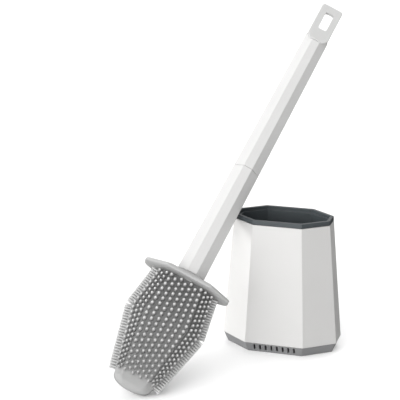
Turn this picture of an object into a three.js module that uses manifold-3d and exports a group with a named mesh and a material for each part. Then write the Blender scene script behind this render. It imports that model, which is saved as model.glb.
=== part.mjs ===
// Toilet brush set: a tapered octagonal holder, a two-part brush leaning on its rim, and the adhesive
// pad that hangs the holder on a wall. Millimetres, +Z up, +X along the holder's width, +Y to its back.
// The origin is the middle of the base's underside, on the floor.
import * as THREE from "three";
import { mergeVertices } from "three/addons/utils/BufferGeometryUtils.js";
import Module from "manifold-3d";

const wasm = await Module();
wasm.setup();

// ---------- driving dimensions ----------

const GAP = 0.3; // between pieces that touch
const PAST = 1; // how far a cutting shape runs past the face it opens, or a joined one into its neighbour
const SLIVER = 0.01; // how far two cuts or joins in line run into each other
const OFFSET_CORNER = Math.tan(Math.PI / 8); // how much an octagon's side shortens for each mm of inset

// Holder: one octagon, scaled evenly from the rim down to the shell's lower edge.
const RIM = { x: 42.6, y: 25.3, flatX: 21.5, flatY: 8.6 }; // half sizes and half side lengths
const RIM_Z = 120;
const FLANGE_BOTTOM = 116.2;
const SHELL_BOTTOM = 8.9;
const FLARE = 1.213; // the shell's lower outline over the rim's
const SHELL_WALL = 2.2;

const BASE_TOP = SHELL_BOTTOM - GAP;
const BASE_INSET_FLOOR = 4.2; // the skirt's inset from the shell where it meets the floor
const BASE_INSET_TOP = 0.7;
const BASE_FLOOR = 2.4; // thickness of the tray's floor
const SKIRT_WALL = 1.2;
const LOCATOR = { top: 20, wall: 1.8, play: 0.4 }; // the wall that centres the shell
const VENT = { count: 8, pitch: 5.1, width: 1.8, low: 2.4, high: 7.7, reach: 8 };

const LINER = { bottom: 8, floor: 1.8, wall: 1.8, insetTop: 2.8, insetBottom: 4.6 };
const MOUTH = { inset: 3, ledge: 117.2 }; // the recess where the brush's collar sits
const DRAIN = { count: 5, pitch: 9, length: 20, width: 3 };

// Wall pad, and the slotted bracket on the shell's back that drops over its plate.
const PAD_Z = 78;
const PLATE = { side: 36, front: 30.7, back: 33.3, corner: 4 };
const PANEL = { side: 28.5, depth: 0.6, corner: 2 }; // the shallow square panel in the plate's face
const NECK = { side: 28, back: 35.5, corner: 3 };
const FILM = { width: 69, height: 70.4, front: 35.8, thick: 0.7, corner: 10 };
const ADHESIVE = { width: 65, height: 66.4, thick: 0.9, corner: 8 };
const BRACKET = { half: 21, front: 25.95, back: 35.3, low: 62, high: 100, lip: 33.7, roof: 96.5, play: 0.5 };

// Brush, along its own axis from the tip.
const HEAD_TOP = 101.4;
const HEAD_EDGE = { top: 30.6, shoulder: 37.5, foot: 22.6, footAt: 6.5 };
const HEAD_EDGE_END = { side: 17.6, sideAt: 5.1, bulge: 13.5, tip: 5, tipAt: -3.6 };
const HEAD_FACE = { top: 19, shoulder: 24, foot: 13, footAt: 13 };
const HEAD_FACE_END = { side: 12.4, sideAt: 12, bulge: 9, tip: 4, tipAt: 8 };
const HEAD_SHOULDER_AT = 62; // where the paddle is widest
const HEAD_HALF = { edge: 3, face: 13.4 }; // half thicknesses at the rim of the paddle and at its flat faces
const CORE = { top: 21.5, shoulder: 24.5, shoulderAt: 62, foot: 10, footAt: 16, thick: 5, high: 103 };
const COLLAR = { x: 39.6, y: 17.4, flatX: 20.6, flatY: 5.4, low: 101.7, high: 105.5 };
const BOSS = { x: 18.8, y: 13.8, flatX: 9.4, flatY: 6, high: 108.2 };
const HANDLE_WALL = 2.4;
const HANDLE_START = { x: 12.4, y: 12.4, flatX: 4.3, flatY: 4.3 };
const HANDLE_SEAM = { x: 11.8, y: 11.8, flatX: 4.1, flatY: 4.1 };
const HANDLE_END = { x: 11, y: 11, flatX: 3.8, flatY: 3.8 };
const SEAM = 220.7;
const HANDLE_TOP = 376;
const PLUG_TOP = 143; // the core's plug inside the lower handle
const CONNECTOR = { low: 193, high: 249, wall: 1.8, below: 6, above: 4 }; // with room past its two ends
const CAP = { lid: 3, plugLow: 360, low: 369.9, high: 410.4, half: 10.3, back: -8.4, front: -11.8 };
const CAP_CORNER = { low: 6, high: 2.6 };
const LID_TAPER = 1;
const BOSS_TAPER = 0.6;
const TONGUE_BACK = -10; // the cap's tongue over the front of the handle
const HANG_HOLE = { half: 4.1, low: 383, high: 402.5, corner: 1.8 };

// How the brush leans: its tip on the floor in front, its handle against the rim's front left edge.
const BRUSH_TIP = { x: -90.4, y: -149.1, z: 8.8 };
const LEAN = 49.35; // from upright
const LEAN_HEADING = 71.75; // from +X towards +Y
const BRUSH_ROLL = 35.9; // about its own axis
const WIDE = 20; // half the width of a cut that spans the whole handle

// ---------- solids ----------

function toSolid(geometry) {
  const bare = geometry.clone();
  bare.deleteAttribute("normal");
  bare.deleteAttribute("uv");
  const merged = mergeVertices(bare, 1e-4);
  return new wasm.Manifold(
    new wasm.Mesh({
      numProp: 3,
      vertProperties: merged.attributes.position.array,
      triVerts: new Uint32Array(merged.index.array),
    }),
  );
}

function toGeometry(solid) {
  const mesh = solid.getMesh();
  const geometry = new THREE.BufferGeometry();
  geometry.setAttribute("position", new THREE.BufferAttribute(mesh.vertProperties, 3));
  geometry.setIndex(new THREE.BufferAttribute(mesh.triVerts, 1));
  geometry.computeVertexNormals();
  return geometry;
}

const join = (...pieces) => pieces.reduce((all, piece) => all.add(piece));
const cut = (body, ...tools) => tools.reduce((rest, tool) => rest.subtract(tool), body);

function box(x0, x1, y0, y1, z0, z1) {
  const geometry = new THREE.BoxGeometry(x1 - x0, y1 - y0, z1 - z0);
  return toSolid(geometry.translate((x0 + x1) / 2, (y0 + y1) / 2, (z0 + z1) / 2));
}

// The middles of `count` things in a row about zero.
function row({ count, pitch }) {
  return Array.from({ length: count }, (_, i) => (i - (count - 1) / 2) * pitch);
}

// ---------- outlines ----------

function octagon({ x, y, flatX, flatY }) {
  const corners = [
    [flatX, -y],
    [x, -flatY],
    [x, flatY],
    [flatX, y],
    [-flatX, y],
    [-x, flatY],
    [-x, -flatY],
    [-flatX, -y],
  ];
  return corners.map(([u, v]) => new THREE.Vector2(u, v));
}

const mirrored = (points) => points.map((point) => new THREE.Vector2(-point.x, point.y)).reverse();

function inset(shape, by) {
  return {
    x: shape.x - by,
    y: shape.y - by,
    flatX: shape.flatX - by * OFFSET_CORNER,
    flatY: shape.flatY - by * OFFSET_CORNER,
  };
}

function blend(a, b, t) {
  const entries = Object.keys(a).map((key) => [key, THREE.MathUtils.lerp(a[key], b[key], t)]);
  return Object.fromEntries(entries);
}

// The holder's outer outline at a height.
function holderAt(z) {
  const scale = THREE.MathUtils.mapLinear(z, RIM_Z, SHELL_BOTTOM, 1, FLARE);
  const entries = Object.entries(RIM).map(([key, value]) => [key, value * scale]);
  return Object.fromEntries(entries);
}

// The handle's outer outline at a distance from the brush's tip.
function handleAt(s) {
  const start = BOSS.high;
  if (s < SEAM) return blend(HANDLE_START, HANDLE_SEAM, (s - start) / (SEAM - start));
  return blend(HANDLE_SEAM, HANDLE_END, (s - SEAM) / (HANDLE_TOP - SEAM));
}

// A closed geometry through outlines of equal point counts, one at each height.
function layered(outlines, heights) {
  const steps = outlines.length - 1;
  const settings = { depth: steps, bevelEnabled: false, steps };
  const geometry = new THREE.ExtrudeGeometry(new THREE.Shape(outlines[0]), settings);
  const position = geometry.attributes.position;
  const here = new THREE.Vector2();
  for (let i = 0; i < position.count; i++) {
    here.set(position.getX(i), position.getY(i));
    const layer = Math.round(position.getZ(i));
    const corner = outlines[0].findIndex((point) => point.distanceTo(here) < SLIVER);
    const moved = outlines[layer][corner];
    position.setXYZ(i, moved.x, moved.y, heights[layer]);
  }
  return geometry;
}

// A closed solid from octagon `lower` at z0 to octagon `upper` at z1, corner to corner.
function loft(lower, upper, z0, z1) {
  return toSolid(layered([octagon(lower), octagon(upper)], [z0, z1]));
}

// A straight octagonal length, as a plug or a bore.
const prism = (outline, s0, s1) => loft(outline, outline, s0, s1);

// A rectangle with a radius at each corner, counter-clockwise from the lower left one.
function roundedRectangle(x0, x1, y0, y1, [lowLeft, lowRight, highRight, highLeft]) {
  const shape = new THREE.Shape();
  shape.moveTo(x0 + lowLeft, y0);
  shape.lineTo(x1 - lowRight, y0);
  if (lowRight) shape.absarc(x1 - lowRight, y0 + lowRight, lowRight, -Math.PI / 2, 0);
  shape.lineTo(x1, y1 - highRight);
  if (highRight) shape.absarc(x1 - highRight, y1 - highRight, highRight, 0, Math.PI / 2);
  shape.lineTo(x0 + highLeft, y1);
  if (highLeft) shape.absarc(x0 + highLeft, y1 - highLeft, highLeft, Math.PI / 2, Math.PI);
  shape.lineTo(x0, y0 + lowLeft);
  if (lowLeft) shape.absarc(x0 + lowLeft, y0 + lowLeft, lowLeft, Math.PI, Math.PI * 1.5);
  return shape;
}

// A plate that stands in the XZ plane, its outline drawn in x and z, between y0 and y1.
function plate(shape, y0, y1) {
  const settings = { depth: y1 - y0, bevelEnabled: false, curveSegments: 6 };
  const geometry = new THREE.ExtrudeGeometry(shape, settings);
  return toSolid(geometry.rotateX(Math.PI / 2).translate(0, y1, 0));
}

// ---------- holder ----------

function baseTray() {
  const hem = holderAt(SHELL_BOTTOM);
  const top = holderAt(LOCATOR.top);
  const outside = SHELL_WALL + LOCATOR.play;
  const inside = outside + LOCATOR.wall;
  const skirt = loft(inset(hem, BASE_INSET_FLOOR), inset(hem, BASE_INSET_TOP), 0, BASE_TOP);
  const locator = loft(inset(hem, outside), inset(top, outside), BASE_TOP - PAST, LOCATOR.top);
  const foot = inset(hem, BASE_INSET_FLOOR + SKIRT_WALL);
  const well = loft(foot, inset(hem, inside), BASE_FLOOR, BASE_TOP);
  const throat = loft(inset(hem, inside), inset(top, inside), BASE_TOP, LOCATOR.top + SLIVER);
  return cut(join(skirt, locator), well, throat, ...vents(hem.y));
}

// The slots through the front and the back of the base's skirt.
function vents(skirtY) {
  const { width, low, high, reach } = VENT;
  const deep = skirtY - reach;
  const far = skirtY + PAST;
  return row(VENT).flatMap((x) => [
    box(x - width / 2, x + width / 2, -far, -deep, low, high),
    box(x - width / 2, x + width / 2, deep, far, low, high),
  ]);
}

function outerShell() {
  const top = FLANGE_BOTTOM - GAP;
  const low = holderAt(SHELL_BOTTOM);
  const high = holderAt(top);
  const skin = loft(low, high, SHELL_BOTTOM, top);
  const hollow = loft(
    inset(holderAt(SHELL_BOTTOM - PAST), SHELL_WALL),
    inset(holderAt(top + PAST), SHELL_WALL),
    SHELL_BOTTOM - PAST,
    top + PAST,
  );
  return join(cut(skin, hollow), bracket());
}

// A block with a channel for the pad's plate and a narrower slot for its neck, both open below.
function bracket() {
  const { half, front, back, lip, roof, play } = BRACKET;
  const mouth = BRACKET.low - PAST;
  const plateHalf = PLATE.side / 2 + play;
  const neckHalf = NECK.side / 2 + play;
  const neckRoof = roof - (PLATE.side - NECK.side) / 2;
  const block = box(-half, half, front, back, BRACKET.low, BRACKET.high);
  const channel = box(-plateHalf, plateHalf, PLATE.front - play, lip, mouth, roof);
  const slot = box(-neckHalf, neckHalf, lip - PAST, back + PAST, mouth, neckRoof);
  return cut(block, channel, slot);
}

function innerLiner() {
  const { bottom, floor, wall, insetTop, insetBottom } = LINER;
  const flange = loft(holderAt(FLANGE_BOTTOM), RIM, FLANGE_BOTTOM, RIM_Z);
  const cup = loft(inset(RIM, insetBottom), inset(RIM, insetTop), bottom, FLANGE_BOTTOM + PAST);
  const inside = loft(
    inset(RIM, insetBottom + wall),
    inset(RIM, insetTop + wall),
    bottom + floor,
    MOUTH.ledge + SLIVER,
  );
  const mouthOutline = inset(RIM, MOUTH.inset);
  const mouth = prism(mouthOutline, MOUTH.ledge, RIM_Z + PAST);
  const half = DRAIN.width / 2;
  const reach = DRAIN.length / 2;
  const drains = row(DRAIN).map((x) =>
    box(x - half, x + half, -reach, reach, bottom - PAST, bottom + floor + PAST),
  );
  return cut(join(flange, cup), inside, mouth, ...drains);
}

// ---------- wall pad ----------

function square(side, corner) {
  const half = side / 2;
  return roundedRectangle(-half, half, PAD_Z - half, PAD_Z + half, Array(4).fill(corner));
}

function padPlate() {
  const face = plate(square(PLATE.side, PLATE.corner), PLATE.front, PLATE.back);
  const neck = plate(square(NECK.side, NECK.corner), PLATE.back - PAST, NECK.back);
  const panelBack = PLATE.front + PANEL.depth;
  const panel = plate(square(PANEL.side, PANEL.corner), PLATE.front - PAST, panelBack);
  return cut(join(face, neck), panel);
}

// A sheet behind the plate; the corner at the lower right of the face is left square to pull it by.
function padSheet({ width, height, thick, corner }, front) {
  const corners = [corner, 0, corner, corner];
  const low = PAD_Z - height / 2;
  const shape = roundedRectangle(-width / 2, width / 2, low, low + height, corners);
  return plate(shape, front, front + thick);
}

const padFilm = () => padSheet(FILM, FILM.front);
const padAdhesive = () => padSheet(ADHESIVE, FILM.front + FILM.thick + GAP);

// ---------- brush, upright on its tip ----------

// The paddle's outline: widest at the shoulders, narrowing to the last bristles and a smooth rounded tip.
function headOutline({ top, shoulder, foot, footAt }, { side, sideAt, bulge, tip, tipAt }) {
  const round = new THREE.QuadraticBezierCurve(
    new THREE.Vector2(tip, tipAt),
    new THREE.Vector2(bulge, tipAt),
    new THREE.Vector2(side, sideAt),
  );
  const right = [
    ...round.getPoints(4),
    new THREE.Vector2(foot, footAt),
    new THREE.Vector2(shoulder, HEAD_SHOULDER_AT),
    new THREE.Vector2(top, HEAD_TOP),
  ];
  return [...right, ...mirrored(right)];
}

function coreOutline(clearance) {
  const { top, shoulder, shoulderAt, foot, footAt, high } = CORE;
  const shape = new THREE.Shape();
  shape.moveTo(-foot - clearance, footAt - clearance);
  shape.lineTo(foot + clearance, footAt - clearance);
  shape.lineTo(shoulder + clearance, shoulderAt);
  shape.lineTo(top + clearance, high);
  shape.lineTo(-top - clearance, high);
  shape.lineTo(-shoulder - clearance, shoulderAt);
  shape.closePath();
  return shape;
}

// The paddle as high as its bristles reach: a slab round its rim, with sloping sides to two flat faces.
function siliconeHead() {
  const { edge, face } = HEAD_HALF;
  const rim = headOutline(HEAD_EDGE, HEAD_EDGE_END);
  const flat = headOutline(HEAD_FACE, HEAD_FACE_END);
  const paddle = layered([flat, rim, rim, flat], [-face, -edge, edge, face]);
  const reach = CORE.thick / 2 + GAP;
  const pocket = plate(coreOutline(GAP), -reach, reach);
  return cut(toSolid(paddle.rotateX(Math.PI / 2)), pocket);
}

function plugOutline(s) {
  return inset(handleAt(s), HANDLE_WALL + GAP);
}

function headCore() {
  const half = CORE.thick / 2;
  const paddle = plate(coreOutline(0), -half, half);
  const plug = prism(plugOutline(PLUG_TOP), COLLAR.low, PLUG_TOP);
  return join(paddle, plug);
}

function splashCollar() {
  const { low, high } = COLLAR;
  const hole = inset(plugOutline(PLUG_TOP), -GAP);
  const flange = prism(COLLAR, low, high);
  const boss = loft(BOSS, inset(BOSS, BOSS_TAPER), high - PAST, BOSS.high);
  const bore = prism(hole, low - PAST, BOSS.high + PAST);
  const paddleHalf = CORE.top + 2;
  const coreHalf = CORE.thick / 2 + GAP;
  const seat = box(-paddleHalf, paddleHalf, -coreHalf, coreHalf, low - PAST, CORE.high + GAP);
  return cut(join(flange, boss), bore, seat);
}

function lowerHandle() {
  const low = BOSS.high + GAP;
  const high = SEAM - GAP / 2;
  const step = CONNECTOR.low - CONNECTOR.below;
  const body = loft(handleAt(low), handleAt(high), low, high);
  const bore = inset(handleAt(PLUG_TOP), HANDLE_WALL);
  const socket = inset(handleAt(SEAM), HANDLE_WALL);
  return cut(
    body,
    prism(bore, low - PAST, step),
    prism(socket, step - SLIVER, high + PAST),
  );
}

function handleConnector() {
  const outline = inset(handleAt(CONNECTOR.high), HANDLE_WALL + GAP);
  const { low, high, wall } = CONNECTOR;
  return cut(prism(outline, low, high), prism(inset(outline, wall), low - PAST, high + PAST));
}

function capOutline() {
  const { half, low, high } = CAP;
  const corners = [CAP_CORNER.low, CAP_CORNER.low, CAP_CORNER.high, CAP_CORNER.high];
  return roundedRectangle(-half, half, low, high, corners);
}

function upperHandle() {
  const low = SEAM + GAP / 2;
  const step = CONNECTOR.high + CONNECTOR.above;
  const open = HANDLE_TOP + PAST;
  const body = loft(handleAt(low), handleAt(HANDLE_TOP), low, HANDLE_TOP);
  const socket = inset(handleAt(CONNECTOR.high), HANDLE_WALL);
  const bore = inset(handleAt(HANDLE_TOP), HANDLE_WALL);
  const seat = box(-WIDE, WIDE, -WIDE, TONGUE_BACK + GAP, CAP.low - GAP, open);
  return cut(
    body,
    prism(socket, low - PAST, step),
    prism(bore, step - SLIVER, open),
    seat,
  );
}

// A loop to hang the brush by, on a lid with a plug in the handle and a tongue over its front.
function hangingCap() {
  const lidLow = HANDLE_TOP + GAP;
  const lidHigh = lidLow + CAP.lid;
  const plugged = inset(HANDLE_END, HANDLE_WALL + GAP);
  const { half, low, high, corner } = HANG_HOLE;
  const holeOutline = roundedRectangle(-half, half, low, high, Array(4).fill(corner));
  const loop = plate(capOutline(), CAP.front, CAP.back);
  const hole = plate(holeOutline, -WIDE, WIDE);
  const behindTongue = box(-WIDE, WIDE, TONGUE_BACK, WIDE, CAP.low - PAST, lidLow);
  const lid = loft(HANDLE_END, inset(HANDLE_END, LID_TAPER), lidLow, lidHigh);
  const plug = prism(plugged, CAP.plugLow, lidLow + PAST);
  return join(cut(loop, behindTongue, hole), lid, plug);
}

// ---------- materials and scene ----------

function finish(color, roughness) {
  return new THREE.MeshStandardMaterial({ color, roughness, metalness: 0 });
}

function piece(name, solid, material) {
  const mesh = new THREE.Mesh(toGeometry(solid), material);
  mesh.name = name;
  return mesh;
}

const holder = new THREE.Group();
holder.add(
  piece("base_tray", baseTray(), finish(0x8d8f91, 0.5)),
  piece("outer_shell", outerShell(), finish(0xf2f1ef, 0.4)),
  piece("inner_liner", innerLiner(), finish(0x3d4347, 0.5)),
);

const wallPad = new THREE.Group();
wallPad.add(
  piece("pad_plate", padPlate(), finish(0xf3f2f0, 0.35)),
  piece("pad_film", padFilm(), finish(0xf1f0ee, 0.3)),
  piece("pad_adhesive", padAdhesive(), finish(0xe6e6e3, 0.6)),
);

const brush = new THREE.Group();
brush.add(
  piece("silicone_head", siliconeHead(), finish(0xbbbbba, 0.65)),
  piece("head_core", headCore(), finish(0xe4e4e2, 0.5)),
  piece("splash_collar", splashCollar(), finish(0xbdbdbc, 0.6)),
  piece("lower_handle", lowerHandle(), finish(0xf6f6f5, 0.4)),
  piece("handle_connector", handleConnector(), finish(0xe4e4e2, 0.5)),
  piece("upper_handle", upperHandle(), finish(0xf6f6f5, 0.4)),
  piece("hanging_cap", hangingCap(), finish(0xd5d5d4, 0.5)),
);
brush.rotation.z = THREE.MathUtils.degToRad(BRUSH_ROLL);

const tilt = new THREE.Group();
tilt.rotation.x = THREE.MathUtils.degToRad(-LEAN);
tilt.add(brush);

const leaning = new THREE.Group();
leaning.rotation.z = THREE.MathUtils.degToRad(LEAN_HEADING - 90);
leaning.position.set(BRUSH_TIP.x, BRUSH_TIP.y, BRUSH_TIP.z);
leaning.add(tilt);

const group = new THREE.Group();
group.add(holder, wallPad, leaning);

export default group;
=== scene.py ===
"""The looks of a toilet brush set: a tapered octagonal holder, a silicone brush that leans on its rim,
and the stick-on pad behind it. The object's sizes are in millimetres and become metres in `finished`.
The studio's are in metres and degrees."""
import math

import bmesh
import bpy
import numpy as np
from mathutils import Matrix, Vector


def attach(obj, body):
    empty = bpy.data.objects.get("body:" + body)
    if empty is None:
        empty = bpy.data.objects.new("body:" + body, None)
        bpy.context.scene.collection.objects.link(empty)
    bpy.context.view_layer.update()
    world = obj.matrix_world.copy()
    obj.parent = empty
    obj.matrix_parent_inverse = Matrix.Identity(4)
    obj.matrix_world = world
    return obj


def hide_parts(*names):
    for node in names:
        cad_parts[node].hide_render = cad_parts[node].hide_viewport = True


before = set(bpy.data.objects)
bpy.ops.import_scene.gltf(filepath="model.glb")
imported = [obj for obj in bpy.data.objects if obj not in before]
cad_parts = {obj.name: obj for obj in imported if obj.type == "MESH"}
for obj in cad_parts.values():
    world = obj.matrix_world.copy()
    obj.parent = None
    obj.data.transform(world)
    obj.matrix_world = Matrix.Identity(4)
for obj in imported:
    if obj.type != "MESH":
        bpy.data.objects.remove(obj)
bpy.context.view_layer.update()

MM = 0.001

# ---------- studio settings ----------

CAMERA = {"lens": 117, "sensor": 36, "heading": 16.96, "down": 15.9, "place": (0.2477, -1.0638, 0.4436)}
FLOOR = {"half": 12, "albedo": 0.93, "roughness": 0.9, "specular": 0.1}
DOME = [  # the dome's bright patches: turned left from the front, raised, and strength
    (0, 15, 3.3),
    (40, 15, 2.45),
    (80, 15, 0.65),
    (180, 50, 2.5),
]
DOME_FALL = 4.0  # how fast a patch fades away from its middle
SIDE_LIGHT = {  # a soft box on the holder's left, which lights the holder alone
    "shape": "RECTANGLE",
    "width": 0.3,
    "tall": 0.25,
    "power": 6.6,
    "heading": 98,
    "height": 8,
    "distance": 0.6,
    "aim": (-0.042, -0.02, 0.062),
}
FLOOR_LIGHT = {  # a faint light over the holder, which lifts the floor's shadows around it
    "shape": "DISK",
    "width": 0.05,
    "tall": 0.05,
    "power": 0.034,
    "heading": 0,
    "height": 90,
    "distance": 0.15,
    "aim": (0, 0, 0),
}

# ---------- material settings ----------

CLOUD_SCALE = 28.0
CLOUD_DETAIL = 3.0
GRAIN_DETAIL = 2.0
NOISE_RANGE = (0.3, 0.7)  # the part of a noise's values that is mapped to the whole range
GLOSS_SPREAD = 0.03
GRAIN_DEPTH = 0.0001
COAT_ROUGHNESS = 0.25
SOFT_REACH = 0.002

# ---------- driving dimensions ----------

# An octagon is [half width, half depth, half length of its front side, half length of its right side].
SHRINK = np.array([1, 1, math.tan(math.pi / 8), math.tan(math.pi / 8)])  # what an inset of 1 takes off

RIM = np.array([42.6, 25.3, 21.5, 8.6])
RIM_TOP = 120.0
FLANGE_BOTTOM = 116.2
SHELL_TOP = 115.9
SHELL_BOTTOM = 8.9
SHELL_WALL = 2.2
FLARE = 1.213  # the shell's lower outline over the rim's

SKIRT_TOP = 8.6
SKIRT_INSET_FLOOR = 4.2
SKIRT_INSET_TOP = 0.7
WELL_FLOOR = 2.4
WELL_INSET = 5.4
LOCATOR_TOP = 20.0
LOCATOR_INSET = 2.6
LOCATOR_WALL = 1.8
VENT = {"count": 8, "pitch": 5.1, "width": 1.8, "low": 2.4, "high": 7.7, "corner": 0.7, "reach": 8.0}

LINER_BOTTOM = 8.0
LINER_FLOOR = 1.8
LINER_WALL = 1.8
LINER_INSET_TOP = 2.8
LINER_INSET_BOTTOM = 4.6
MOUTH_INSET = 3.0
MOUTH_LEDGE = 117.2
DRAIN = {"count": 5, "pitch": 9.0, "width": 3.0, "length": 20.0, "corner": 1.4}
END_INSET = 3.0  # how far inside the edge of the tray's flat ends their own outlines lie
OVERLAP = 1.0  # how far a shape runs into the one it joins, or out past the one it cuts

PAD_Z = 78.0
PLATE = {"side": 36.0, "front": 30.7, "back": 33.3, "corner": 4.0}
PANEL = {"side": 28.5, "depth": 0.6, "corner": 2.0}
NECK = {"side": 28.0, "back": 35.5, "corner": 3.0}
FILM = {"width": 69.0, "height": 70.4, "front": 35.8, "thick": 0.7, "corner": 10.0}
ADHESIVE = {"width": 65.0, "height": 66.4, "front": 36.8, "thick": 0.9, "corner": 8.0}
SHEET_SQUARE = 0.6  # the radius of the sheets' one square corner
SHEET_SOFT = 0.4  # the softening of a sheet's edge, over its thickness
BRACKET = {"half": 21.0, "front": 25.95, "back": 35.3, "low": 62.0, "high": 100.0, "lip": 33.7,
           "roof": 96.5, "play": 0.5, "corners": [1, 1, 3, 3], "slot_corners": [0.5, 0.5, 2, 2]}

# The brush's own frame: +Z from its tip along the handle, -Y out of the face that is seen.
BRUSH_TIP = Vector((-90.4, -149.1, 8.8))
BRUSH_LEAN = math.radians(49.35)
BRUSH_HEADING = math.radians(71.75)
BRUSH_ROLL = math.radians(35.9)

COLLAR = np.array([39.6, 17.4, 20.6, 5.4])
COLLAR_LOW = 101.7
COLLAR_HIGH = 105.5
BOSS = np.array([18.8, 13.8, 9.4, 6.0])
BOSS_TOP = 108.2
BOSS_TAPER = 0.6
GAP = 0.3
HANDLE_WALL = 2.4
HANDLE_START = np.array([12.4, 12.4, 4.3, 4.3])
HANDLE_SEAM = np.array([11.8, 11.8, 4.1, 4.1])
HANDLE_END = np.array([11.0, 11.0, 3.8, 3.8])
SEAM = 220.7
HANDLE_TOP = 376.0
PLUG_TOP = 143.0
PLUG_END_INSET = 4.0
CONNECTOR_LOW = 193.0
CONNECTOR_HIGH = 249.0
CONNECTOR_WALL = 1.8
LOW_STEP = CONNECTOR_LOW - 6  # where the lower tube's bore widens for the connector
HIGH_STEP = CONNECTOR_HIGH + 4  # where the upper tube's bore narrows above it

CAP = {"low": 369.9, "high": 410.4, "half": 10.3, "back": -8.4, "front": -11.8, "tongue": -10.0,
       "lid": 3.0, "lid_taper": 1.0, "plug_low": 360.0, "corners": [6.0, 6.0, 2.6, 2.6]}
CAP_CUT = {"width": 40.0, "height": 20.0, "reach": 20.0}  # what is cut from behind the cap's tongue
HANG_HOLE = {"half": 4.1, "low": 383.0, "high": 402.5, "corner": 1.8}

# The silicone paddle at distances from the tip: half width, half depth, half width of its raised face,
# half thickness of its edge.
HEAD_TOP = 101.4
SHOULDER = 62.0
TIP_LOW = -3.6
TIP_START = 5.1
TIP_ROUND = 2.2  # the exponent of the tip's ellipse, seen from in front
TIP_SECTION = 2.4  # the exponent of its cross-section's
TIP_RINGS = 12
TIP_FIRST_TURN = 0.08  # the tip's first ring, as an angle from its very end
BODY_RINGS = 32
PADDLE_AT = [TIP_LOW, TIP_START, SHOULDER, HEAD_TOP]
PADDLE = np.array([
    [17.4, 6.2, 11.6, 3.0],
    [17.6, 6.4, 11.8, 3.0],
    [31.5, 8.8, 20.2, 3.6],
    [25.6, 8.4, 15.6, 3.6],
])
FACE_STEP = 1.2  # how far the face stands above the bevels beside it
STEP_RUN = 0.8
STEP_SOFT = 0.45  # the radius of the step's corners
RIM_SOFT = 1.4  # the largest radius of the paddle's edge
RIM_SOFT_SHARE = 0.4  # the same, over the edge's half thickness
CORE_AT = [16.0, SHOULDER, 103.0]
CORE_HALF = [10.0, 24.5, 21.5]
CORE_HALF_THICK = 2.5
CORE_CORNER = 0.8
POCKET_AT = [CORE_AT[0] - GAP, SHOULDER, HEAD_TOP]
POCKET_HALF = [half + GAP for half in CORE_HALF]
PIN_LENGTH = 5.3
PIN_SHORTEST = 2.0
PIN_LOWEST = 0.4  # how near the floor a pin's end may come
PIN_FIRST = 6.6
PIN_LAST = 98.6
PLAIN_TO = PIN_FIRST - 2  # the tip is smooth up to here
BLEND = 8.0  # from there its round section turns into the paddle's over this length
# Pins are "thick" from PINS_FULL up and "thin" at the tip. Both are half thicknesses.
FACE_PINS = {"columns": 7, "spread": 0.29, "pitch": 5.0, "thick": 1.4, "thin": 1.0}
BEVEL_PINS = {"across": [0.12, 0.46, 0.8], "pitch": 4.4, "thick": 1.15, "thin": 0.85, "lean": 0.12}
EDGE_PINS = {"rows": [-2.3, 0.0, 2.3], "pitch": 2.3, "thick": 0.75, "notch": 1.0}
PINS_FULL = 34.0
PAINTED_SHADE = {  # painted shade and painted light: what the silicone's colour is multiplied by, at distances from the tip
    "at": [5, 13, 34, 66, 101],
    "roots": [0.64, 0.52, 0.46, 0.36, 0.28],
    "tips": [0.76, 0.84, 0.92, 1.04, 1.08],
    "comb": [0.74, 1.1],  # a comb's roots (painted shade) and tips (painted light)
}

# ---------- shapes ----------


def inset(shape, by):
    """An octagon whose sides have all moved in by a distance."""
    return shape - by * SHRINK


def mix(a, b, t):
    return a + (b - a) * t


def holder_at(z):
    """The holder's outer outline at a height."""
    return RIM * mix(1, FLARE, (RIM_TOP - z) / (RIM_TOP - SHELL_BOTTOM))


def handle_at(s):
    """The handle's outer outline at a distance from the brush's tip."""
    if s < SEAM:
        return mix(HANDLE_START, HANDLE_SEAM, (s - BOSS_TOP) / (SEAM - BOSS_TOP))
    return mix(HANDLE_SEAM, HANDLE_END, (s - SEAM) / (HANDLE_TOP - SEAM))


def arc(start, corner, end, steps):
    """A quarter ellipse from start to end, tangent to the lines from both to the corner."""
    turns = np.linspace(0, math.pi / 2, steps + 1)
    shares = [(1 - math.sin(a), 1 - math.cos(a)) for a in turns]
    return [corner + (start - corner) * p + (end - corner) * q for p, q in shares]


def rounded(points, radii, steps, closed=True, measure=slice(None)):
    """A path whose corners are rounded, each by its own radius. `measure` picks the coordinates that a
    corner's lengths and angle are taken in."""
    path = []
    last = len(points) - 1
    for i, (here, radius) in enumerate(zip(points, radii)):
        if radius <= 0 or (not closed and i in (0, last)):
            path.append(here)
            continue
        back = points[i - 1] - here
        on = points[(i + 1) % len(points)] - here
        back_length = np.linalg.norm(back[measure])
        on_length = np.linalg.norm(on[measure])
        cosine = np.dot(back[measure], on[measure]) / (back_length * on_length)
        turn = math.pi - math.acos(max(-1.0, min(1.0, cosine)))
        reach = min(radius * math.tan(turn / 2), 0.49 * back_length, 0.49 * on_length)
        path += arc(here + back * reach / back_length, here, here + on * reach / on_length, steps)
    return path


def station(shape, z, edge):
    """One level of an octagonal piece: its octagon, the radius of its eight upright edges and its z."""
    return np.array([*shape, edge, z])


def octagon_ring(level, steps=4):
    """The points of a level's octagon, with its upright edges rounded."""
    x, y, flat_x, flat_y, edge, z = level
    quarter = [(flat_x, -y), (x, -flat_y), (x, flat_y), (flat_x, y)]
    corners = [np.array(p) for p in quarter + [(-u, v) for u, v in reversed(quarter)]]
    return [(u, v, z) for u, v in rounded(corners, [edge] * 8, steps)]


def octagonal(levels, radii, closed=False, steps=5):
    """Rings through levels, with the profile's corner at each level rounded by its radius."""
    path = rounded(levels, radii, steps, closed, measure=[1, 5])  # by half depth and z
    return [octagon_ring(level) for level in path]


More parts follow.
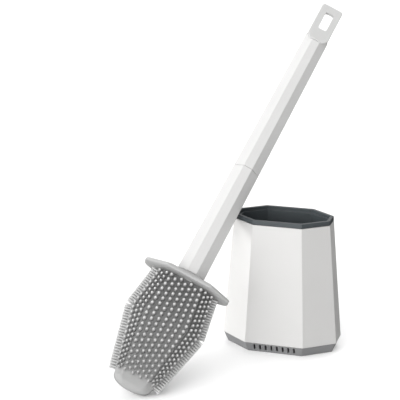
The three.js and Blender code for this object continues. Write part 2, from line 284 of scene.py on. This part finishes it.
def rectangle(width, height, corners, middle=(0, 0), steps=8):
    """A rectangle's outline, counter-clockwise from its lower left corner, each corner with its radius."""
    x, z = width / 2, height / 2
    points = [np.array(p) + middle for p in ((-x, -z), (x, -z), (x, z), (-x, z))]
    return rounded(points, corners, steps)


def grown(width, height, corners, by, **place):
    """A rectangle's outline moved out by a distance."""
    return rectangle(width + 2 * by, height + 2 * by, [max(c + by, 0.05) for c in corners], **place)


def slab_rings(width, height, corners, front, back, soft, steps=4, **place):
    """Rings of an upright plate with softened edges, front to back along Y."""
    rings = []
    turns = np.linspace(0, math.pi / 2, steps + 1)
    edge = [(soft * (1 - math.sin(a)), front + soft * (1 - math.cos(a))) for a in turns]
    edge += [(soft * (1 - math.cos(a)), back - soft * (1 - math.sin(a))) for a in turns]
    for cut_in, y in edge:
        outline = grown(width, height, corners, -cut_in, **place)
        rings.append([(u, y, v) for u, v in outline])
    return rings


# ---------- meshes ----------


def lofted(rings, closed=False):
    """A closed mesh through rings of equal length, with flat ends or joined end to end."""
    bm = bmesh.new()
    rows = [[bm.verts.new(p) for p in ring] for ring in rings]
    pairs = list(zip(rows, rows[1:]))
    if closed:
        pairs.append((rows[-1], rows[0]))
    else:
        bm.faces.new(reversed(rows[0]))
        bm.faces.new(rows[-1])
    for low, high in pairs:
        for i in range(len(low)):
            j = (i + 1) % len(low)
            bm.faces.new((low[i], low[j], high[j], high[i]))
    bmesh.ops.recalc_face_normals(bm, faces=bm.faces)
    return bm


def scratch(bm, name="scratch"):
    """A bare object that holds a mesh under construction."""
    mesh = bpy.data.meshes.new(name)
    bm.to_mesh(mesh)
    bm.free()
    piece = bpy.data.objects.new(name, mesh)
    bpy.context.scene.collection.objects.link(piece)
    return piece


def applied(piece):
    """Replaces the piece's mesh by what its modifiers make of it."""
    graph = bpy.context.evaluated_depsgraph_get()
    mesh = bpy.data.meshes.new_from_object(piece.evaluated_get(graph))
    piece.modifiers.clear()
    piece.data = mesh
    return piece


def combined(piece, tool, operation):
    """The piece joined to or cut by a tool, which is used up."""
    step = piece.modifiers.new(operation, "BOOLEAN")
    step.operation = operation
    step.solver = "MANIFOLD"
    step.object = tool
    applied(piece)
    bpy.data.objects.remove(tool)
    return piece


def gathered(meshes):
    """Separate closed meshes as one."""
    whole = bmesh.new()
    for bm in meshes:
        part = bpy.data.meshes.new("part")
        bm.to_mesh(part)
        bm.free()
        whole.from_mesh(part)
        bpy.data.meshes.remove(part)
    return whole


def row(count, pitch):
    """Places at a pitch, around zero."""
    return [(i - (count - 1) / 2) * pitch for i in range(count)]


def brush_matrix():
    """The place of the brush's own frame."""
    lean = Matrix.Rotation(-BRUSH_LEAN, 4, "X")
    heading = Matrix.Rotation(BRUSH_HEADING - math.pi / 2, 4, "Z")
    roll = Matrix.Rotation(BRUSH_ROLL, 4, "Z")
    return Matrix.Translation(BRUSH_TIP) @ heading @ lean @ roll


def finished(piece, name, body, material, nodes, place=None, smooth=math.radians(32)):
    """Scales a piece to metres, shades it, and puts it on its body in place of CAD nodes."""
    piece.name = name
    piece.data.name = name
    if place is not None:
        piece.data.transform(place)
    piece.data.transform(Matrix.Scale(MM, 4))
    piece.data.materials.clear()
    piece.data.materials.append(material)
    piece.data.shade_smooth()
    piece.data.set_sharp_from_angle(angle=smooth)
    weigh = piece.modifiers.new("even_shading", "WEIGHTED_NORMAL")
    weigh.keep_sharp = True
    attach(piece, body)
    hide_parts(*nodes)
    return piece


# ---------- materials ----------


def link(tree, a, b):
    tree.links.new(a, b)


def node(tree, kind, **settings):
    made = tree.nodes.new(kind)
    for key, value in settings.items():
        if key in made.inputs:
            made.inputs[key].default_value = value
        else:
            setattr(made, key, value)
    return made


def maths(tree, operation, a, b):
    """A sum on two values, each a socket or a number."""
    made = node(tree, "ShaderNodeMath", operation=operation)
    for value, socket in zip((a, b), made.inputs):
        if isinstance(value, (int, float)):
            socket.default_value = value
        else:
            link(tree, value, socket)
    return made.outputs["Value"]


def noise(tree, coordinates, scale, detail):
    made = node(tree, "ShaderNodeTexNoise", Scale=scale, Detail=detail)
    link(tree, coordinates, made.inputs["Vector"])
    return made.outputs["Fac"]


def spread(tree, value, low, high):
    """A noise value mapped to a range."""
    made = node(tree, "ShaderNodeMapRange")
    made.inputs["From Min"].default_value = NOISE_RANGE[0]
    made.inputs["From Max"].default_value = NOISE_RANGE[1]
    made.inputs["To Min"].default_value = low
    made.inputs["To Max"].default_value = high
    link(tree, value, made.inputs["Value"])
    return made.outputs["Result"]


def moulded(name, colour, roughness, grain=0.12, grain_scale=1500.0, cloud=0.02, specular=0.5,
            coat=0.0, soft=0.0, painted_shade_on=False):
    """Moulded plastic or silicone: a fine grain in its relief, and clouds in its gloss and colour.
    The last flag multiplies the colour by the mesh's own attribute of painted shade and painted light."""
    material = bpy.data.materials.new(name)
    material.use_nodes = True
    tree = material.node_tree
    shader = tree.nodes["Principled BSDF"]
    place = node(tree, "ShaderNodeTexCoord").outputs["Object"]
    clouds = noise(tree, place, CLOUD_SCALE, CLOUD_DETAIL)
    speckle = noise(tree, place, grain_scale, GRAIN_DETAIL)
    tint = node(tree, "ShaderNodeMix", data_type="RGBA", blend_type="MIX")
    tint.inputs["A"].default_value = (*[c * (1 - cloud) for c in colour], 1)
    tint.inputs["B"].default_value = (*[min(c * (1 + cloud), 1) for c in colour], 1)
    link(tree, spread(tree, clouds, 0, 1), tint.inputs["Factor"])
    colour_out = tint.outputs["Result"]
    if painted_shade_on:
        # painted shade and painted light, read per vertex from the mesh
        painted_shade = node(tree, "ShaderNodeAttribute", attribute_name="painted_shade").outputs["Fac"]
        shade = node(tree, "ShaderNodeMix", data_type="RGBA", blend_type="MULTIPLY")
        shade.inputs["Factor"].default_value = 1
        grey = node(tree, "ShaderNodeCombineColor")
        for channel in ("Red", "Green", "Blue"):
            link(tree, painted_shade, grey.inputs[channel])
        link(tree, colour_out, shade.inputs["A"])
        link(tree, grey.outputs["Color"], shade.inputs["B"])
        colour_out = shade.outputs["Result"]
    link(tree, colour_out, shader.inputs["Base Color"])
    gloss = spread(tree, clouds, roughness - GLOSS_SPREAD, roughness + GLOSS_SPREAD)
    link(tree, gloss, shader.inputs["Roughness"])
    bump = node(tree, "ShaderNodeBump", Strength=grain, Distance=GRAIN_DEPTH)
    link(tree, speckle, bump.inputs["Height"])
    link(tree, bump.outputs["Normal"], shader.inputs["Normal"])
    shader.inputs["Specular IOR Level"].default_value = specular
    shader.inputs["Coat Weight"].default_value = coat
    shader.inputs["Coat Roughness"].default_value = COAT_ROUGHNESS
    if soft:
        shader.inputs["Subsurface Weight"].default_value = soft
        shader.inputs["Subsurface Radius"].default_value = [SOFT_REACH] * 3
        shader.inputs["Subsurface Scale"].default_value = 1.0
    return material


SHELL_WHITE = moulded("shell_white", (0.44, 0.437, 0.431), 0.38, cloud=0.012)
HANDLE_WHITE = moulded("handle_white", (0.525, 0.523, 0.519), 0.36, cloud=0.01)
LINER_SLATE = moulded("liner_slate", (0.038, 0.045, 0.049), 0.5, grain=0.3, cloud=0.12, specular=0.35)
BASE_GREY = moulded("base_grey", (0.178, 0.18, 0.183), 0.45, grain=0.3, cloud=0.05)
CAP_GREY = moulded("cap_grey", (0.45, 0.45, 0.446), 0.42, cloud=0.02)
CORE_PLASTIC = moulded("core_plastic", (0.56, 0.56, 0.553), 0.4, cloud=0.02)
# the silicone's colour carries painted shade between its pins and by the collar, and painted light on the
# pin tips
SILICONE = moulded("silicone_grey", (0.46, 0.46, 0.457), 0.55, grain=0.2, cloud=0.03, soft=0.12, painted_shade_on=True)
COLLAR_SILICONE = moulded("collar_grey", (0.34, 0.34, 0.337), 0.5, grain=0.2, cloud=0.03, soft=0.1)
PAD_WHITE = moulded("pad_white", (0.55, 0.547, 0.54), 0.25, cloud=0.01, coat=0.3)
PAD_FILM = moulded("pad_film", (0.52, 0.517, 0.51), 0.2, cloud=0.02, coat=0.5)
PAD_ADHESIVE = moulded("pad_adhesive", (0.47, 0.468, 0.458), 0.75, grain=0.6, grain_scale=900.0, cloud=0.05)


# ---------- holder ----------


def base_tray():
    """The vented skirt, with the wall that centres the shell and the drip well inside it."""
    hem = holder_at(SHELL_BOTTOM)
    top = holder_at(LOCATOR_TOP)
    inner = LOCATOR_INSET + LOCATOR_WALL
    levels = [
        station(inset(hem, SKIRT_INSET_FLOOR + END_INSET), 0, 0.6),
        station(inset(hem, SKIRT_INSET_FLOOR), 0, 1.2),
        station(inset(hem, SKIRT_INSET_TOP), SKIRT_TOP, 1.4),
        station(inset(hem, LOCATOR_INSET), SKIRT_TOP, 1.2),
        station(inset(top, LOCATOR_INSET), LOCATOR_TOP, 1.2),
        station(inset(top, inner), LOCATOR_TOP, 0.8),
        station(inset(hem, inner), SKIRT_TOP, 0.8),
        station(inset(hem, WELL_INSET), WELL_FLOOR, 0.8),
        station(inset(hem, WELL_INSET + END_INSET), WELL_FLOOR, 0.5),
    ]
    radii = [0, 0.5, 0.4, 0.3, 0.5, 0.5, 0.3, 0.6, 0]
    tray = scratch(lofted(octagonal(levels, radii)))
    width = VENT["width"]
    height = VENT["high"] - VENT["low"]
    corners = [VENT["corner"]] * 4
    far = hem[1] + OVERLAP
    near = hem[1] - VENT["reach"]
    slots = []
    for x in row(VENT["count"], VENT["pitch"]):
        middle = (x, (VENT["low"] + VENT["high"]) / 2)
        for front, back in ((-far, -near), (near, far)):
            slot = slab_rings(width, height, corners, front, back, soft=0.1, steps=2, middle=middle)
            slots.append(lofted(slot))
    combined(tray, scratch(gathered(slots)), "DIFFERENCE")
    return finished(tray, "base_tray_body", "base", BASE_GREY, ["base_tray"])


def bracket():
    """The block on the shell's back, with a channel for the pad's plate and a slot for its neck."""
    b = BRACKET
    middle = (0, (b["low"] + b["high"]) / 2)
    width = 2 * b["half"]
    height = b["high"] - b["low"]
    block = slab_rings(width, height, b["corners"], b["front"], b["back"], soft=0.8, middle=middle)
    made = scratch(lofted(block))
    plate_side = PLATE["side"] + 2 * b["play"]
    neck_side = NECK["side"] + 2 * b["play"]
    neck_roof = b["roof"] - (PLATE["side"] - NECK["side"]) / 2
    for side, roof, front, back in (
        (plate_side, b["roof"], PLATE["front"] - b["play"], b["lip"]),
        (neck_side, neck_roof, b["lip"] - OVERLAP, b["back"] + OVERLAP),
    ):
        low = b["low"] - 2 * OVERLAP
        middle = (0, (low + roof) / 2)
        corners = b["slot_corners"]
        tool = slab_rings(side, roof - low, corners, front, back, soft=0.05, steps=2, middle=middle)
        combined(made, scratch(lofted(tool)), "DIFFERENCE")
    return made


def outer_shell():
    """The white tapered shell, open at both ends, with the pad's bracket on its back."""
    levels = [
        station(holder_at(SHELL_BOTTOM), SHELL_BOTTOM, 1.3),
        station(holder_at(SHELL_TOP), SHELL_TOP, 1.1),
        station(inset(holder_at(SHELL_TOP), SHELL_WALL), SHELL_TOP, 0.6),
        station(inset(holder_at(SHELL_BOTTOM), SHELL_WALL), SHELL_BOTTOM, 0.7),
    ]
    shell = scratch(lofted(octagonal(levels, [0.6, 0.4, 0.3, 0.5], closed=True), closed=True))
    combined(shell, bracket(), "UNION")
    return finished(shell, "outer_shell_body", "shell", SHELL_WHITE, ["outer_shell"])


def inner_liner():
    """The dark cup, with a flange on the shell's rim, a ledge in its mouth and drain slots in its floor."""
    top = LINER_INSET_TOP
    bottom = LINER_INSET_BOTTOM
    floor = LINER_BOTTOM + LINER_FLOOR
    levels = [
        station(inset(RIM, bottom), LINER_BOTTOM, 1.2),
        station(inset(RIM, top), FLANGE_BOTTOM, 1.2),
        station(holder_at(FLANGE_BOTTOM), FLANGE_BOTTOM, 1.2),
        station(RIM, RIM_TOP, 1.2),
        station(inset(RIM, MOUTH_INSET), RIM_TOP, 0.9),
        station(inset(RIM, MOUTH_INSET), MOUTH_LEDGE, 0.9),
        station(inset(RIM, top + LINER_WALL), MOUTH_LEDGE, 0.8),
        station(inset(RIM, bottom + LINER_WALL), floor, 0.8),
    ]
    liner = scratch(lofted(octagonal(levels, [1.0, 0.3, 0.35, 0.5, 0.45, 0.3, 0.4, 1.5])))
    drains = []
    for x in row(DRAIN["count"], DRAIN["pitch"]):
        slot = rectangle(DRAIN["width"], DRAIN["length"], [DRAIN["corner"]] * 4, (x, 0))
        ends = (LINER_BOTTOM - OVERLAP, floor + OVERLAP)
        drains.append(lofted([[(u, v, z) for u, v in slot] for z in ends]))
    combined(liner, scratch(gathered(drains)), "DIFFERENCE")
    return finished(liner, "inner_liner_body", "liner", LINER_SLATE, ["inner_liner"])


# ---------- wall pad ----------


def pad_square(size, front, back, soft):
    """A square slab around the pad's middle."""
    side = size["side"]
    rings = slab_rings(side, side, [size["corner"]] * 4, front, back, soft, middle=(0, PAD_Z))
    return scratch(lofted(rings))


def pad_plate():
    """The square plate with its sunk panel, and the neck behind it."""
    front = PLATE["front"]
    back = PLATE["back"]
    made = pad_square(PLATE, front, back, 0.6)
    combined(made, pad_square(NECK, back - OVERLAP, NECK["back"], 0.3), "UNION")
    combined(made, pad_square(PANEL, front - 2 * OVERLAP, front + PANEL["depth"], 0.2), "DIFFERENCE")
    return finished(made, "pad_plate_body", "wall_pad", PAD_WHITE, ["pad_plate"])


def pad_sheet(size, name, material, node_name):
    """The pad's film or its adhesive, flat against the wall."""
    corner = size["corner"]
    corners = [corner, SHEET_SQUARE, corner, corner]
    front = size["front"]
    back = front + size["thick"]
    soft = size["thick"] * SHEET_SOFT
    rings = slab_rings(size["width"], size["height"], corners, front, back, soft, middle=(0, PAD_Z))
    return finished(scratch(lofted(rings)), name, "wall_pad", material, [node_name])


# ---------- brush ----------


def collar():
    """The splash collar, with the boss that the handle stands on."""
    hole = inset(handle_at(PLUG_TOP), HANDLE_WALL)
    levels = [
        station(COLLAR, COLLAR_LOW, 3.0),
        station(COLLAR, COLLAR_HIGH, 3.0),
        station(BOSS, COLLAR_HIGH, 1.6),
        station(inset(BOSS, BOSS_TAPER), BOSS_TOP, 1.6),
        station(hole, BOSS_TOP, 0.6),
        station(hole, COLLAR_LOW, 0.6),
    ]
    made = scratch(lofted(octagonal(levels, [1.5, 1.5, 1.0, 1.2, 0.3, 0.3], closed=True), closed=True))
    return finished(made, "splash_collar_body", "brush_head", COLLAR_SILICONE,
                    ["splash_collar"], brush_matrix())


def tube(ends, bores, edge=0.9):
    """An octagonal tube. Its ends, upwards, and its bores, downwards, are (outline, z) pairs."""
    levels = [station(outline, z, edge) for outline, z in ends]
    levels += [station(outline, z, 0.5) for outline, z in bores]
    radii = [0.45] * len(ends) + [0.25] * len(bores)
    return scratch(lofted(octagonal(levels, radii, closed=True), closed=True))


def handle_low():
    """The lower tube, from the collar's boss to the seam."""
    low = BOSS_TOP + GAP
    high = SEAM - GAP / 2
    bore = inset(handle_at(PLUG_TOP), HANDLE_WALL)
    socket = inset(handle_at(SEAM), HANDLE_WALL)
    bores = [(socket, high), (socket, LOW_STEP), (bore, LOW_STEP), (bore, low)]
    made = tube([(handle_at(low), low), (handle_at(high), high)], bores)
    return finished(made, "lower_handle_body", "handle_low", HANDLE_WHITE,
                    ["lower_handle"], brush_matrix())


def connector():
    """The sleeve inside the handle at its seam."""
    outline = inset(handle_at(CONNECTOR_HIGH), HANDLE_WALL + GAP)
    inside = inset(outline, CONNECTOR_WALL)
    ends = [(outline, CONNECTOR_LOW), (outline, CONNECTOR_HIGH)]
    bores = [(inside, CONNECTOR_HIGH), (inside, CONNECTOR_LOW)]
    made = tube(ends, bores, edge=0.6)
    return finished(made, "handle_connector_body", "handle_low", CORE_PLASTIC,
                    ["handle_connector"], brush_matrix())


def cap_slab(by, front, back, soft, steps=4):
    """A slab with the cap's outline moved out by a distance."""
    width = 2 * CAP["half"] + 2 * by
    height = CAP["high"] - CAP["low"] + 2 * by
    corners = [c + by for c in CAP["corners"]]
    middle = (0, (CAP["low"] + CAP["high"]) / 2)
    return scratch(lofted(slab_rings(width, height, corners, front, back, soft, steps, middle=middle)))


def handle_high():
    """The upper tube, with the seat for the cap's tongue."""
    low = SEAM + GAP / 2
    socket = inset(handle_at(CONNECTOR_HIGH), HANDLE_WALL)
    bore = inset(handle_at(HANDLE_TOP), HANDLE_WALL)
    bores = [(bore, HANDLE_TOP), (bore, HIGH_STEP), (socket, HIGH_STEP), (socket, low)]
    made = tube([(handle_at(low), low), (handle_at(HANDLE_TOP), HANDLE_TOP)], bores)
    seat = cap_slab(GAP, -CAP_CUT["reach"], CAP["tongue"] + GAP, soft=0.1, steps=2)
    combined(made, seat, "DIFFERENCE")
    return finished(made, "upper_handle_body", "handle_high", HANDLE_WHITE,
                    ["upper_handle"], brush_matrix())


def hanging_cap():
    """The flat loop with its hole, the tongue down the handle's front, the lid and the plug inside."""
    lid_low = HANDLE_TOP + GAP
    made = cap_slab(0, CAP["front"], CAP["back"], soft=0.7)
    width = CAP_CUT["width"]
    height = CAP_CUT["height"]
    middle = (0, lid_low - height / 2)
    front = CAP["tongue"]
    back = CAP_CUT["reach"]
    behind = slab_rings(width, height, [0.05] * 4, front, back, soft=0.02, steps=1, middle=middle)
    combined(made, scratch(lofted(behind)), "DIFFERENCE")
    lid = octagonal([
        station(HANDLE_END, lid_low, 0.9),
        station(inset(HANDLE_END, CAP["lid_taper"]), lid_low + CAP["lid"], 0.9),
    ], [0, 0])
    combined(made, scratch(lofted(lid)), "UNION")
    plugged = inset(HANDLE_END, HANDLE_WALL + GAP)
    plug = octagonal([
        station(plugged, CAP["plug_low"], 0.5),
        station(plugged, lid_low + OVERLAP, 0.5),
    ], [0, 0])
    combined(made, scratch(lofted(plug)), "UNION")
    h = HANG_HOLE
    middle = (0, (h["low"] + h["high"]) / 2)
    outline = rectangle(2 * h["half"], h["high"] - h["low"], [h["corner"]] * 4, middle)
    hole = [[(u, y, v) for u, v in outline] for y in (-CAP_CUT["reach"], CAP_CUT["reach"])]
    combined(made, scratch(lofted(hole)), "DIFFERENCE")
    return finished(made, "hanging_cap_body", "handle_high", CAP_GREY,
                    ["hanging_cap"], brush_matrix())


def head_core():
    """The stiff paddle inside the silicone, with the plug that the handle fits over."""
    thick = CORE_HALF_THICK
    levels = []
    for s, half in zip(CORE_AT, CORE_HALF):
        shape = np.array([half, thick, half - CORE_CORNER, thick - CORE_CORNER])
        levels.append(station(shape, s, 0.3))
    made = scratch(lofted(octagonal(levels, [0, 0, 0])))
    outline = inset(handle_at(PLUG_TOP), HANDLE_WALL + GAP)
    plug = [
        station(outline, COLLAR_LOW, 0.6),
        station(outline, PLUG_TOP, 0.6),
        station(inset(outline, PLUG_END_INSET), PLUG_TOP, 0.5),
    ]
    combined(made, scratch(lofted(octagonal(plug, [0, 1.0, 0]))), "UNION")
    return finished(made, "head_core_body", "brush_head", CORE_PLASTIC,
                    ["head_core"], brush_matrix())


def paddle_at(s):
    """The silicone body's sizes at a distance from the tip, drawn in to nothing at its rounded end."""
    shape = np.array([np.interp(s, PADDLE_AT, column) for column in PADDLE.T])
    if s < TIP_START:
        t = (TIP_START - s) / (TIP_START - TIP_LOW)
        shape = shape * (1 - t ** TIP_ROUND) ** (1 / TIP_ROUND)
    return shape


def paddle_front(x, s):
    """How far the body's front stands out at x."""
    half, depth, face, edge = paddle_at(s)
    places = [0, face, face + STEP_RUN, half]
    return float(np.interp(abs(x), places, [depth, depth, depth - FACE_STEP, edge]))


def paddle_ring(s):
    """The body's outline at a distance from the tip: a smooth oval at first, then the stepped paddle."""
    half, depth, face, edge = paddle_at(s)
    full = float(np.interp(s, [PLAIN_TO, PLAIN_TO + BLEND], [0, 1]))
    small = min(1.0, depth / PADDLE[1, 1])
    side = [(face, -depth), (face + small * STEP_RUN, small * FACE_STEP - depth), (half, -edge)]
    side += [(x, -y) for x, y in reversed(side)]
    corners = [np.array(p) for p in side + [(-x, y) for x, y in reversed(side)]]
    rim = min(RIM_SOFT, RIM_SOFT_SHARE * edge)
    soft = [STEP_SOFT, STEP_SOFT, rim, rim, STEP_SOFT, STEP_SOFT]
    ring = []
    for x, y in rounded(corners, soft * 2, 3):
        swell = (abs(x / half) ** TIP_SECTION + abs(y / depth) ** TIP_SECTION) ** (-1 / TIP_SECTION)
        ring.append((x * mix(swell, 1, full), y * mix(swell, 1, full), s))
    return ring


def paddle_body():
    """The silicone body with the pocket that its core fills."""
    reach = TIP_START - TIP_LOW
    turns = np.linspace(TIP_FIRST_TURN, math.pi / 2, TIP_RINGS)
    tip = [TIP_START - reach * math.cos(a) for a in turns]
    body = list(np.linspace(TIP_START, HEAD_TOP, BODY_RINGS))[1:]
    rings = [paddle_ring(s) for s in sorted({*tip, *body, SHOULDER})]
    count = len(rings[0])
    pocket_half = CORE_HALF_THICK + GAP
    for s, half in reversed(list(zip(POCKET_AT, POCKET_HALF))):
        rings.append([(*p, s) for p in pocket_outline(half, pocket_half, count)])
    return lofted(rings)


def pocket_outline(x, y, count):
    """A thin rectangle as `count` points that pair with those of the paddle's ring."""
    turns = [2 * math.pi * (i + 0.5) / count - math.pi / 2 for i in range(count)]
    spots = []
    for a in turns:
        reach = min(x / max(abs(math.cos(a)), 1e-6), y / max(abs(math.sin(a)), 1e-6))
        spots.append((reach * math.cos(a), reach * math.sin(a)))
    return spots


def pin(root, along, length, thick, sides=8):
    """One round-tipped pin on a small flare, as a closed mesh."""
    profile = [  # distances out from the root, and shares of the half thickness there
        (-0.8, 1.35),
        (0.0, 1.3),
        (0.5, 1.06),
        (0.55 * length, 0.97),
        (length - 0.75 * thick, 0.9),
        (length - 0.3 * thick, 0.7),
        (length - 0.07 * thick, 0.36),
    ]
    turn = Vector(along).to_track_quat("Z", "Y").to_matrix()
    turns = np.linspace(0, 2 * math.pi, sides, endpoint=False)
    bm = bmesh.new()
    rows = []
    for up, share in profile:
        spots = [Vector((share * thick * math.cos(a), share * thick * math.sin(a), up)) for a in turns]
        rows.append([bm.verts.new(Vector(root) + turn @ spot) for spot in spots])
    tip = bm.verts.new(Vector(root) + turn @ Vector((0, 0, length)))
    for low, high in zip(rows, rows[1:]):
        for i in range(sides):
            j = (i + 1) % sides
            bm.faces.new((low[i], low[j], high[j], high[i]))
    for i in range(sides):
        bm.faces.new((rows[-1][i], rows[-1][(i + 1) % sides], tip))
    bm.faces.new(reversed(rows[0]))
    return bm


def thickness(kind, s):
    """A pin's half thickness at a distance from the tip."""
    return float(np.interp(s, [PIN_FIRST, PINS_FULL], [kind["thin"], kind["thick"]]))


def face_pins():
    """Roots, directions and thicknesses of the raised face's pins."""
    places = []
    middle = (FACE_PINS["columns"] - 1) / 2
    for k in range(FACE_PINS["columns"]):
        s = PIN_LAST - (k % 2) * FACE_PINS["pitch"] / 2
        while s > PIN_FIRST:
            x = (k - middle) * FACE_PINS["spread"] * paddle_at(s)[2]
            root = Vector((x, -paddle_front(x, s), s))
            places.append((root, Vector((0, -1, 0)), thickness(FACE_PINS, s)))
            s -= FACE_PINS["pitch"]
    return places


def bevel_pins():
    """The same for the bevels on both sides of the face."""
    places = []
    for k, across in enumerate(BEVEL_PINS["across"]):
        s = PIN_LAST - (k % 2) * BEVEL_PINS["pitch"] / 2
        while s > PIN_FIRST:
            half, _, face, _ = paddle_at(s)
            x = mix(face + STEP_RUN, half, across)
            for side in (1, -1):
                root = Vector((side * x, -paddle_front(x, s), s))
                lean = Vector((side * BEVEL_PINS["lean"], -1, 0)).normalized()
                places.append((root, lean, thickness(BEVEL_PINS, s)))
            s -= BEVEL_PINS["pitch"]
    return places


def edge_pins():
    """The combs along the rim, square to each of its two straight lengths."""
    places = []
    lengths = [(PIN_FIRST, SHOULDER - EDGE_PINS["notch"]), (SHOULDER + EDGE_PINS["notch"], PIN_LAST)]
    for low, high in lengths:
        a = paddle_at(low)[0]
        b = paddle_at(high)[0]
        for k, y in enumerate(EDGE_PINS["rows"]):
            s = high - k * EDGE_PINS["pitch"] / len(EDGE_PINS["rows"])
            while s > low:
                x = paddle_at(s)[0]
                for side in (1, -1):
                    out = Vector((side * (high - low), 0, a - b)).normalized()
                    places.append((Vector((side * x, y, s)), out, EDGE_PINS["thick"]))
                s -= EDGE_PINS["pitch"]
    return places


def silicone_head():
    """The silicone with its pins on both faces and its combs. A pin that would pass through the floor is
    shorter, or left out."""
    place = brush_matrix()
    places = edge_pins()
    back = Vector((1, -1, 1))
    for root, along, thick in face_pins() + bevel_pins():
        places.append((root, along, thick))
        places.append((root * back, along * back, thick))
    pins = []
    for root, along, thick in places:
        length = PIN_LENGTH
        foot = (place @ root).z
        drop = -(place.to_3x3() @ along).z
        if drop > 0 and foot - drop * length < PIN_LOWEST:
            length = (foot - PIN_LOWEST) / drop
        if length > PIN_SHORTEST:
            pins.append(pin(root, along, length, thick))
    made = scratch(paddle_body())
    combined(made, scratch(gathered(pins)), "UNION")
    # painted shade between the pins and by the collar, and painted light on the pin tips, stored per vertex
    painted_shade = made.data.attributes.new("painted_shade", "FLOAT", "POINT")
    painted_shade.data.foreach_set("value", [silicone_painted_shade(*vertex.co) for vertex in made.data.vertices])
    return finished(made, "silicone_head_body", "brush_head", SILICONE,
                    ["silicone_head"], place)


def silicone_painted_shade(x, y, s):
    """Painted shade and painted light on the silicone at a point: painted shade between the pins, darkest
    by the collar, painted light on the pins' tips, and one plain value on the smooth tip."""
    if s < PLAIN_TO:
        return PAINTED_SHADE["roots"][0]
    low = np.interp(s, PAINTED_SHADE["at"], PAINTED_SHADE["roots"])
    high = np.interp(s, PAINTED_SHADE["at"], PAINTED_SHADE["tips"])
    over = abs(y) - paddle_front(x, s)
    beside = abs(x) - paddle_at(s)[0]
    if beside > over:
        low, high = PAINTED_SHADE["comb"]
    reach = max(0.0, min(1.0, max(over, beside) / PIN_LENGTH))
    return float(mix(low, high, reach))


# ---------- studio ----------


def pale_floor():
    """A wide pale floor that glossy surfaces don't mirror."""
    bm = bmesh.new()
    bmesh.ops.create_grid(bm, x_segments=8, y_segments=8, size=FLOOR["half"])
    made = scratch(bm, "floor")
    material = bpy.data.materials.new("floor")
    material.use_nodes = True
    shader = material.node_tree.nodes["Principled BSDF"]
    shader.inputs["Base Color"].default_value = (FLOOR["albedo"], FLOOR["albedo"], FLOOR["albedo"], 1)
    shader.inputs["Roughness"].default_value = FLOOR["roughness"]
    shader.inputs["Specular IOR Level"].default_value = FLOOR["specular"]
    made.data.materials.append(material)
    made.visible_glossy = False
    return made


def direction(heading, height):
    """The direction that is turned left from the front and raised by these degrees."""
    turn = math.radians(heading)
    rise = math.radians(height)
    flat = math.cos(rise)
    return Vector((-math.sin(turn) * flat, -math.cos(turn) * flat, math.sin(rise)))


def dome():
    """A world of soft bright patches, plain white to the camera."""
    world = bpy.data.worlds.new("studio")
    bpy.context.scene.world = world
    world.use_nodes = True
    tree = world.node_tree
    toward = node(tree, "ShaderNodeTexCoord").outputs["Generated"]
    total = None
    for heading, height, power in DOME:
        facing = node(tree, "ShaderNodeVectorMath", operation="DOT_PRODUCT")
        link(tree, toward, facing.inputs[0])
        facing.inputs[1].default_value = direction(heading, height)
        positive = maths(tree, "MAXIMUM", facing.outputs["Value"], 0)
        lobe = maths(tree, "POWER", positive, DOME_FALL)
        glow = maths(tree, "MULTIPLY", lobe, power)
        total = glow if total is None else maths(tree, "ADD", total, glow)
    strength = node(tree, "ShaderNodeMix", data_type="FLOAT")
    link(tree, node(tree, "ShaderNodeLightPath").outputs["Is Camera Ray"], strength.inputs["Factor"])
    link(tree, total, strength.inputs["A"])
    strength.inputs["B"].default_value = 1.0
    background = tree.nodes["Background"]
    background.inputs["Color"].default_value = (1, 1, 1, 1)
    link(tree, strength.outputs["Result"], background.inputs["Strength"])


def area_light(name, settings, lit):
    """An unseen light that reaches only the objects given. Returns it with their collection."""
    data = bpy.data.lights.new(name, "AREA")
    data.shape = settings["shape"]
    data.size = settings["width"]
    data.size_y = settings["tall"]
    data.energy = settings["power"]
    light = bpy.data.objects.new(name, data)
    away = direction(settings["heading"], settings["height"])
    light.location = Vector(settings["aim"]) + away * settings["distance"]
    light.rotation_euler = away.to_track_quat("Z", "Y").to_euler()
    light.visible_camera = False
    light.visible_glossy = False
    bpy.context.scene.collection.objects.link(light)
    reached = bpy.data.collections.new(name + "_reaches")
    for piece in lit:
        reached.objects.link(piece)
    light.light_linking.receiver_collection = reached
    return light, reached


def camera():
    """The photograph's viewpoint: a long lens to the front and right, looking down."""
    data = bpy.data.cameras.new("camera")
    data.lens = CAMERA["lens"]
    data.sensor_width = CAMERA["sensor"]
    made = bpy.data.objects.new("camera", data)
    pitch = math.radians(90 - CAMERA["down"])
    made.rotation_euler = (pitch, 0, math.radians(CAMERA["heading"]))
    made.location = CAMERA["place"]
    bpy.context.scene.collection.objects.link(made)
    bpy.context.scene.camera = made


bpy.context.scene.view_settings.view_transform = "Standard"
camera()
dome()
shade_lifter, floor_alone = area_light("floor_light", FLOOR_LIGHT, [pale_floor()])
shade_lifter.light_linking.blocker_collection = floor_alone  # nothing else shades it

holder = [base_tray(), outer_shell(), inner_liner()]
area_light("side_light", SIDE_LIGHT, holder)
pad_plate()
pad_sheet(FILM, "pad_film_body", PAD_FILM, "pad_film")
pad_sheet(ADHESIVE, "pad_adhesive_body", PAD_ADHESIVE, "pad_adhesive")
silicone_head()
head_core()
collar()
handle_low()
connector()
handle_high()
hanging_cap()
